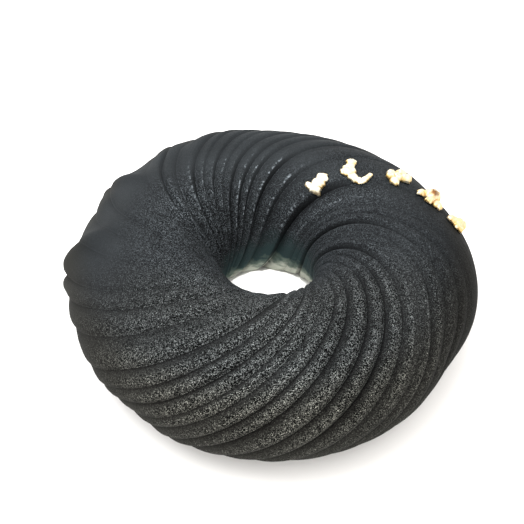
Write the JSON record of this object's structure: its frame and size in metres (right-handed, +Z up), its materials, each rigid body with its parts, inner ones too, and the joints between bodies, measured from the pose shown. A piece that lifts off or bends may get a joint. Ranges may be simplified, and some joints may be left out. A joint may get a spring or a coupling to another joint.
{
  "type": "mousse cake",
  "caption": "Ring-shaped mousse cake with twisted folds running from its hole over the crown to a flat base, and crumpled flakes of gold leaf on top.",
  "frame": {"origin": "middle of the flat base, on the surface that the cake stands on", "axes": "+Z up through the hole, +Y away from the side shown nearest in the picture, +X to that picture's right"},
  "size_m": [0.2023, 0.2009, 0.0624],
  "materials": {
    "velvet_mousse": "frozen mousse sprayed with black cocoa butter, a fine velvet grain",
    "gold_leaf": "thin crumpled edible gold leaf"
  },
  "bodies": {
    "root": {"mousse_ring": "velvet_mousse"}
  },
  "joints": []
}
